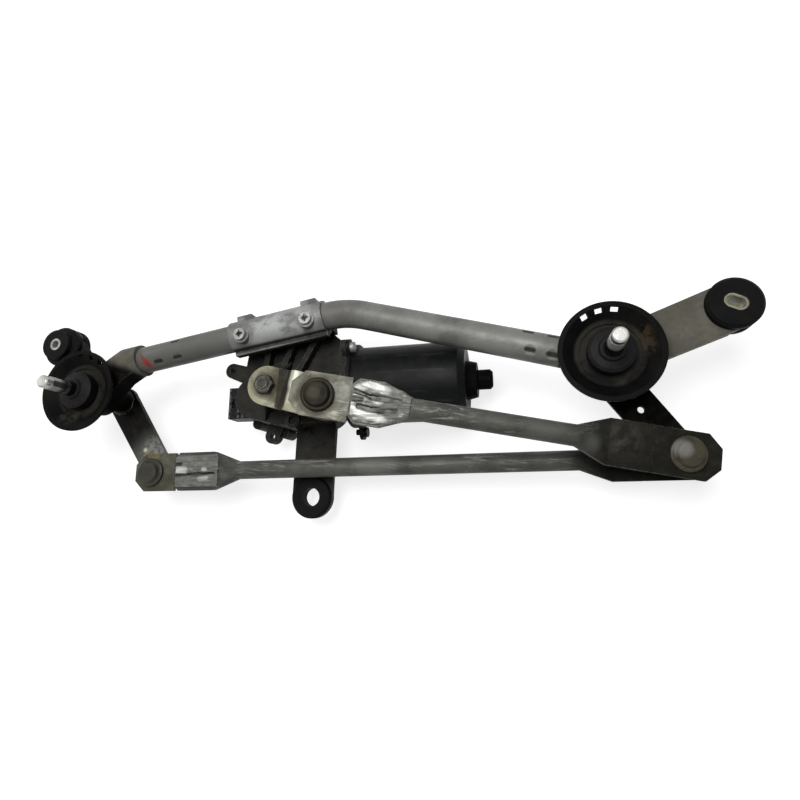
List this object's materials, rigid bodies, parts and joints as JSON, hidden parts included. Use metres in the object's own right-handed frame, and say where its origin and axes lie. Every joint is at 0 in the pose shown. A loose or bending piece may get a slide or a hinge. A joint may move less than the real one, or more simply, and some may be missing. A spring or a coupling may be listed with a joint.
{
  "type": "wiper linkage",
  "caption": "Windscreen wiper linkage with geared motor: a bent tube frame carries pivots whose levers are swung by a crank and flattened tube rods.",
  "frame": {"origin": "middle of the lower mounting bore, half way along the lower rubber grommet", "axes": "+Z along the pivot shafts towards the wiper arms, +X from the left pivot to the right pivot, +Y from the lower mount towards the frame tube"},
  "size_m": [0.5655, 0.1734, 0.127],
  "materials": {
    "tube_steel": "dull zinc plate, scratched and dirty",
    "rod_steel": "dull zinc plate, rough where it is pressed flat",
    "cast_alloy": "as cast, oxidised",
    "dark_casting": "charcoal coating over a casting",
    "black_plastic": "satin, dusty",
    "black_rubber": "matt",
    "black_paint": "satin black, worn at the edges",
    "yellow_zinc": "yellow passivated zinc, tarnished",
    "bright_steel": "machined",
    "socket_plastic": "dark brown, greasy",
    "sintered_bronze": "oil-soaked sinter",
    "gear_plastic": "natural acetal",
    "ferrite": "ground ferrite",
    "core_steel": "laminated core on a ground shaft",
    "terminal_brass": "tin-plated blades"
  },
  "bodies": {
    "frame": {"frame_tube": "tube_steel", "left_pivot_housing": "cast_alloy", "right_pivot_housing": "cast_alloy", "left_drain_cup": "black_plastic", "right_drain_cup": "black_plastic", "left_pivot_bushes": "sintered_bronze", "right_pivot_bushes": "sintered_bronze", "left_mount_grommet": "black_rubber", "left_mount_sleeve": "bright_steel", "right_mount_grommet": "black_rubber", "right_mount_sleeve": "yellow_zinc", "lower_mount_grommet": "black_rubber", "gear_housing": "dark_casting", "lower_mount_arm": "dark_casting", "gear_cover": "black_plastic", "gear_cover_screws": "bright_steel", "tube_saddle": "tube_steel", "saddle_screws": "bright_steel", "connector_socket": "black_plastic", "connector_terminals": "terminal_brass", "motor_yoke": "black_paint", "yoke_screws": "bright_steel", "motor_magnets": "ferrite", "brush_card": "gear_plastic", "armature_bush": "sintered_bronze", "output_bush": "sintered_bronze"},
    "crank": {"crank_arm": "yellow_zinc", "crank_nut": "yellow_zinc", "crank_ball_stud": "bright_steel", "output_shaft": "bright_steel", "output_gear": "gear_plastic"},
    "counter_gear": {"counter_gear": "gear_plastic"},
    "armature": {"armature": "core_steel"},
    "drive_rod": {"drive_rod": "rod_steel", "drive_rod_left_plate": "yellow_zinc", "drive_rod_right_plate": "rod_steel", "drive_rod_left_socket": "socket_plastic", "drive_rod_right_socket": "socket_plastic", "drive_rod_right_ball": "bright_steel"},
    "right_lever": {"right_pivot_shaft": "bright_steel", "right_lever": "black_paint", "right_lever_studs": "bright_steel", "right_seal_cap": "black_rubber", "right_thrust_washer": "bright_steel"},
    "left_lever": {"left_pivot_shaft": "bright_steel", "left_lever": "black_paint", "left_lever_stud": "bright_steel", "left_seal_cap": "black_rubber", "left_thrust_washer": "bright_steel"},
    "link_rod": {"link_rod": "rod_steel", "link_rod_left_plate": "yellow_zinc", "link_rod_right_plate": "rod_steel", "link_rod_left_socket": "socket_plastic", "link_rod_right_socket": "socket_plastic"}
  },
  "joints": [
    {"name": "crank_turn", "type": "hinge", "parent": "frame", "child": "crank", "pos_m": [-0.0185, 0.084, 0.0613], "axis": [0, 0, 1], "range_deg": [-180, 0]},
    {"name": "drive_rod_swing", "type": "hinge", "parent": "crank", "child": "drive_rod", "pos_m": [0.03389, 0.06898, 0.0783], "axis": [0, 0, 1], "range_deg": [0, 176.32]},
    {"name": "right_lever_swing", "type": "hinge", "parent": "frame", "child": "right_lever", "pos_m": [0.232, 0.092, 0.022], "axis": [0, 0, 1], "range_deg": [-85.23, 0]},
    {"name": "link_rod_swing", "type": "hinge", "parent": "right_lever", "child": "link_rod", "pos_m": [0.27817, 0.02606, 0.011], "axis": [0, 0, 1], "range_deg": [0, 85.23]},
    {"name": "left_lever_swing", "type": "hinge", "parent": "frame", "child": "left_lever", "pos_m": [-0.1865, 0.087, 0.01], "axis": [0, 0, 1], "range_deg": [-85.23, 0]},
    {"name": "counter_gear_turn", "type": "hinge", "parent": "frame", "child": "counter_gear", "pos_m": [0.00823, 0.0747, 0.012], "axis": [0, 0, 1], "range_deg": [0, 660.1]},
    {"name": "armature_turn", "type": "hinge", "parent": "frame", "child": "armature", "pos_m": [0.04, 0.0915, 0.006], "axis": [1, 0, 0], "range_deg": [0, 7920.1]}
  ],
  "couplings": [
    {"joint": "drive_rod_swing", "follows": "crank_turn", "ratio": -0.97953},
    {"joint": "right_lever_swing", "follows": "crank_turn", "ratio": 0.47346},
    {"joint": "left_lever_swing", "follows": "crank_turn", "ratio": 0.47346},
    {"joint": "link_rod_swing", "follows": "crank_turn", "ratio": -0.47346},
    {"joint": "counter_gear_turn", "follows": "crank_turn", "ratio": -3.6667},
    {"joint": "armature_turn", "follows": "crank_turn", "ratio": -44}
  ]
}
